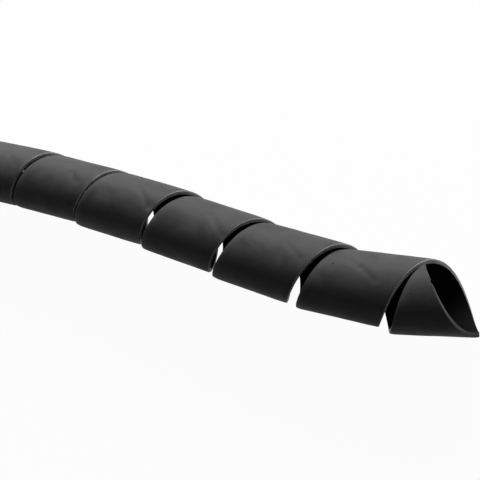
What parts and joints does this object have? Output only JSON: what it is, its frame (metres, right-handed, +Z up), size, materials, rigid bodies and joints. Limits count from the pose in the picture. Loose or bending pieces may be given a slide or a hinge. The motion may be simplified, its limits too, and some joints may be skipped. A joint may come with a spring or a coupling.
{
  "type": "spiral cable wrap",
  "caption": "Left-handed spiral wrap: a black plastic ribbon wound into an open tube that is wound around cables to bundle them, with slanting scissor-cut ends.",
  "frame": {"origin": "middle of the footprint, on the floor that the wrap lies on", "axes": "+X along the straight stretch of the tube, towards the curled free end; +Z up; +Y is the side that the free end curls towards"},
  "size_m": [1.0014, 0.0374, 0.0258],
  "materials": {
    "polyethylene": "satin black, lightly scuffed"
  },
  "bodies": {
    "root": {"spiral_wrap": "polyethylene"}
  },
  "joints": []
}
